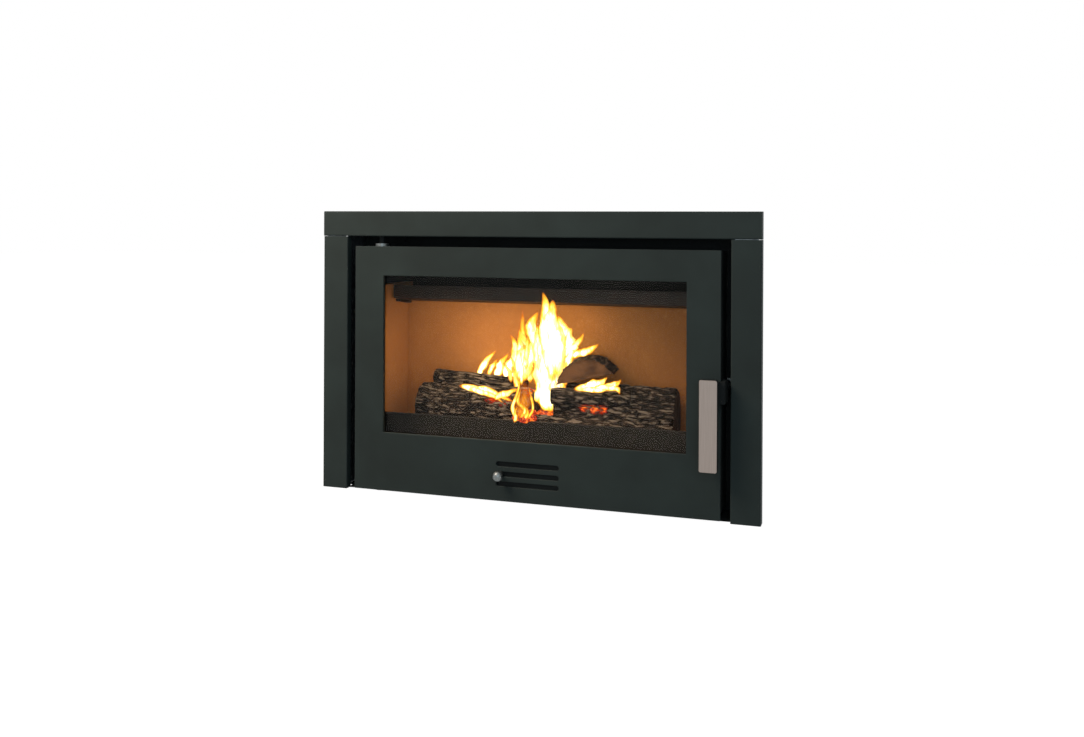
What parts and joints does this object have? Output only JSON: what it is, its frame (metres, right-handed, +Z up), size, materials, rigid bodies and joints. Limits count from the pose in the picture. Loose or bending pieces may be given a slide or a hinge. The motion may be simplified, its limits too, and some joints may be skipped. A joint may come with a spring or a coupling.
{
  "type": "fireplace insert",
  "caption": "Built-in wood fireplace insert: steel firebox in a casing, deep glazed door hinged at the left, lever latch, sliding air control, firewood and three-sided surround trim.",
  "frame": {"origin": "under the middle of the bounding box, on the hearth plane that the casing stands on", "axes": "+X to the right seen from the room, +Y into the wall, +Z up; the trim's front face lies at y = -0.1335 m"},
  "size_m": [0.8, 0.333, 0.51],
  "materials": {
    "anthracite_paint": "matt high-temperature paint, anthracite with a slight green-blue cast",
    "stove_black": "matt black high-temperature paint",
    "galvanised_sheet": "galvanised sheet, faint spangle",
    "turned_steel": "turned, satin",
    "brushed_stainless": "brushed along its length",
    "cast_iron": "sand cast, dark",
    "heat_worn_steel": "scaled by heat, dark brown",
    "vermiculite": "pressed board, matt, warm in firelight",
    "glass_fibre_rope": "knitted rope, grey",
    "ceramic_glass": "clear ceramic glass",
    "bark": "rough bark, charred"
  },
  "bodies": {
    "firebox": {"trim_top": "anthracite_paint", "trim_left": "anthracite_paint", "trim_right": "anthracite_paint", "trim_corner_plate_left": "galvanised_sheet", "trim_corner_plate_right": "galvanised_sheet", "trim_bracket_left_lower": "galvanised_sheet", "trim_bracket_left_upper": "galvanised_sheet", "trim_bracket_right_lower": "galvanised_sheet", "trim_bracket_right_upper": "galvanised_sheet", "trim_bracket_top_left": "galvanised_sheet", "trim_bracket_top_right": "galvanised_sheet", "outer_casing": "galvanised_sheet", "casing_top": "galvanised_sheet", "flue_collar": "stove_black", "support_rail_left": "galvanised_sheet", "support_rail_right": "galvanised_sheet", "firebox_face": "stove_black", "firebox_shell": "stove_black", "liner_back": "vermiculite", "liner_left": "vermiculite", "liner_right": "vermiculite", "hearth_slab": "vermiculite", "fire_grate": "cast_iron", "ash_pan": "galvanised_sheet", "log_retainer": "cast_iron", "smoke_baffle": "heat_worn_steel", "baffle_ledge_left": "heat_worn_steel", "baffle_ledge_right": "heat_worn_steel", "hinge_arm_top": "stove_black", "hinge_arm_bottom": "stove_black", "hinge_pin_top": "turned_steel", "hinge_pin_bottom": "turned_steel", "keeper_bracket": "stove_black", "keeper_pin": "turned_steel", "log_left": "bark", "log_right": "bark", "log_front": "bark", "log_branch": "bark", "log_middle": "bark", "log_split": "bark"},
    "door": {"door_panel": "anthracite_paint", "door_box": "stove_black", "door_rope_seal": "glass_fibre_rope", "door_glass": "ceramic_glass", "glass_gasket": "glass_fibre_rope", "glass_clip_left_lower": "galvanised_sheet", "glass_clip_left_upper": "galvanised_sheet", "glass_clip_right_lower": "galvanised_sheet", "glass_clip_right_upper": "galvanised_sheet", "hinge_bush_top": "anthracite_paint", "hinge_bush_bottom": "anthracite_paint", "slide_guide_upper": "galvanised_sheet", "slide_guide_lower": "galvanised_sheet", "latch_pivot_pin": "turned_steel"},
    "handle": {"latch_lever": "stove_black", "handle_body": "stove_black", "handle_facing": "brushed_stainless"},
    "air_slide": {"air_slide_plate": "stove_black", "air_slide_stem": "turned_steel", "air_slide_knob": "turned_steel"}
  },
  "joints": [
    {"name": "door_hinge", "type": "hinge", "parent": "firebox", "child": "door", "pos_m": [-0.29, -0.1135, 0.2245], "axis": [0, 0, -1], "range_deg": [0, 110]},
    {"name": "handle_pivot", "type": "hinge", "parent": "door", "child": "handle", "pos_m": [0.3405, -0.1085, 0.222], "axis": [-1, 0, 0], "range_deg": [-5, 25]},
    {"name": "air_control", "type": "slide", "parent": "door", "child": "air_slide", "axis": [1, 0, 0], "range_m": [0, 0.096]}
  ]
}
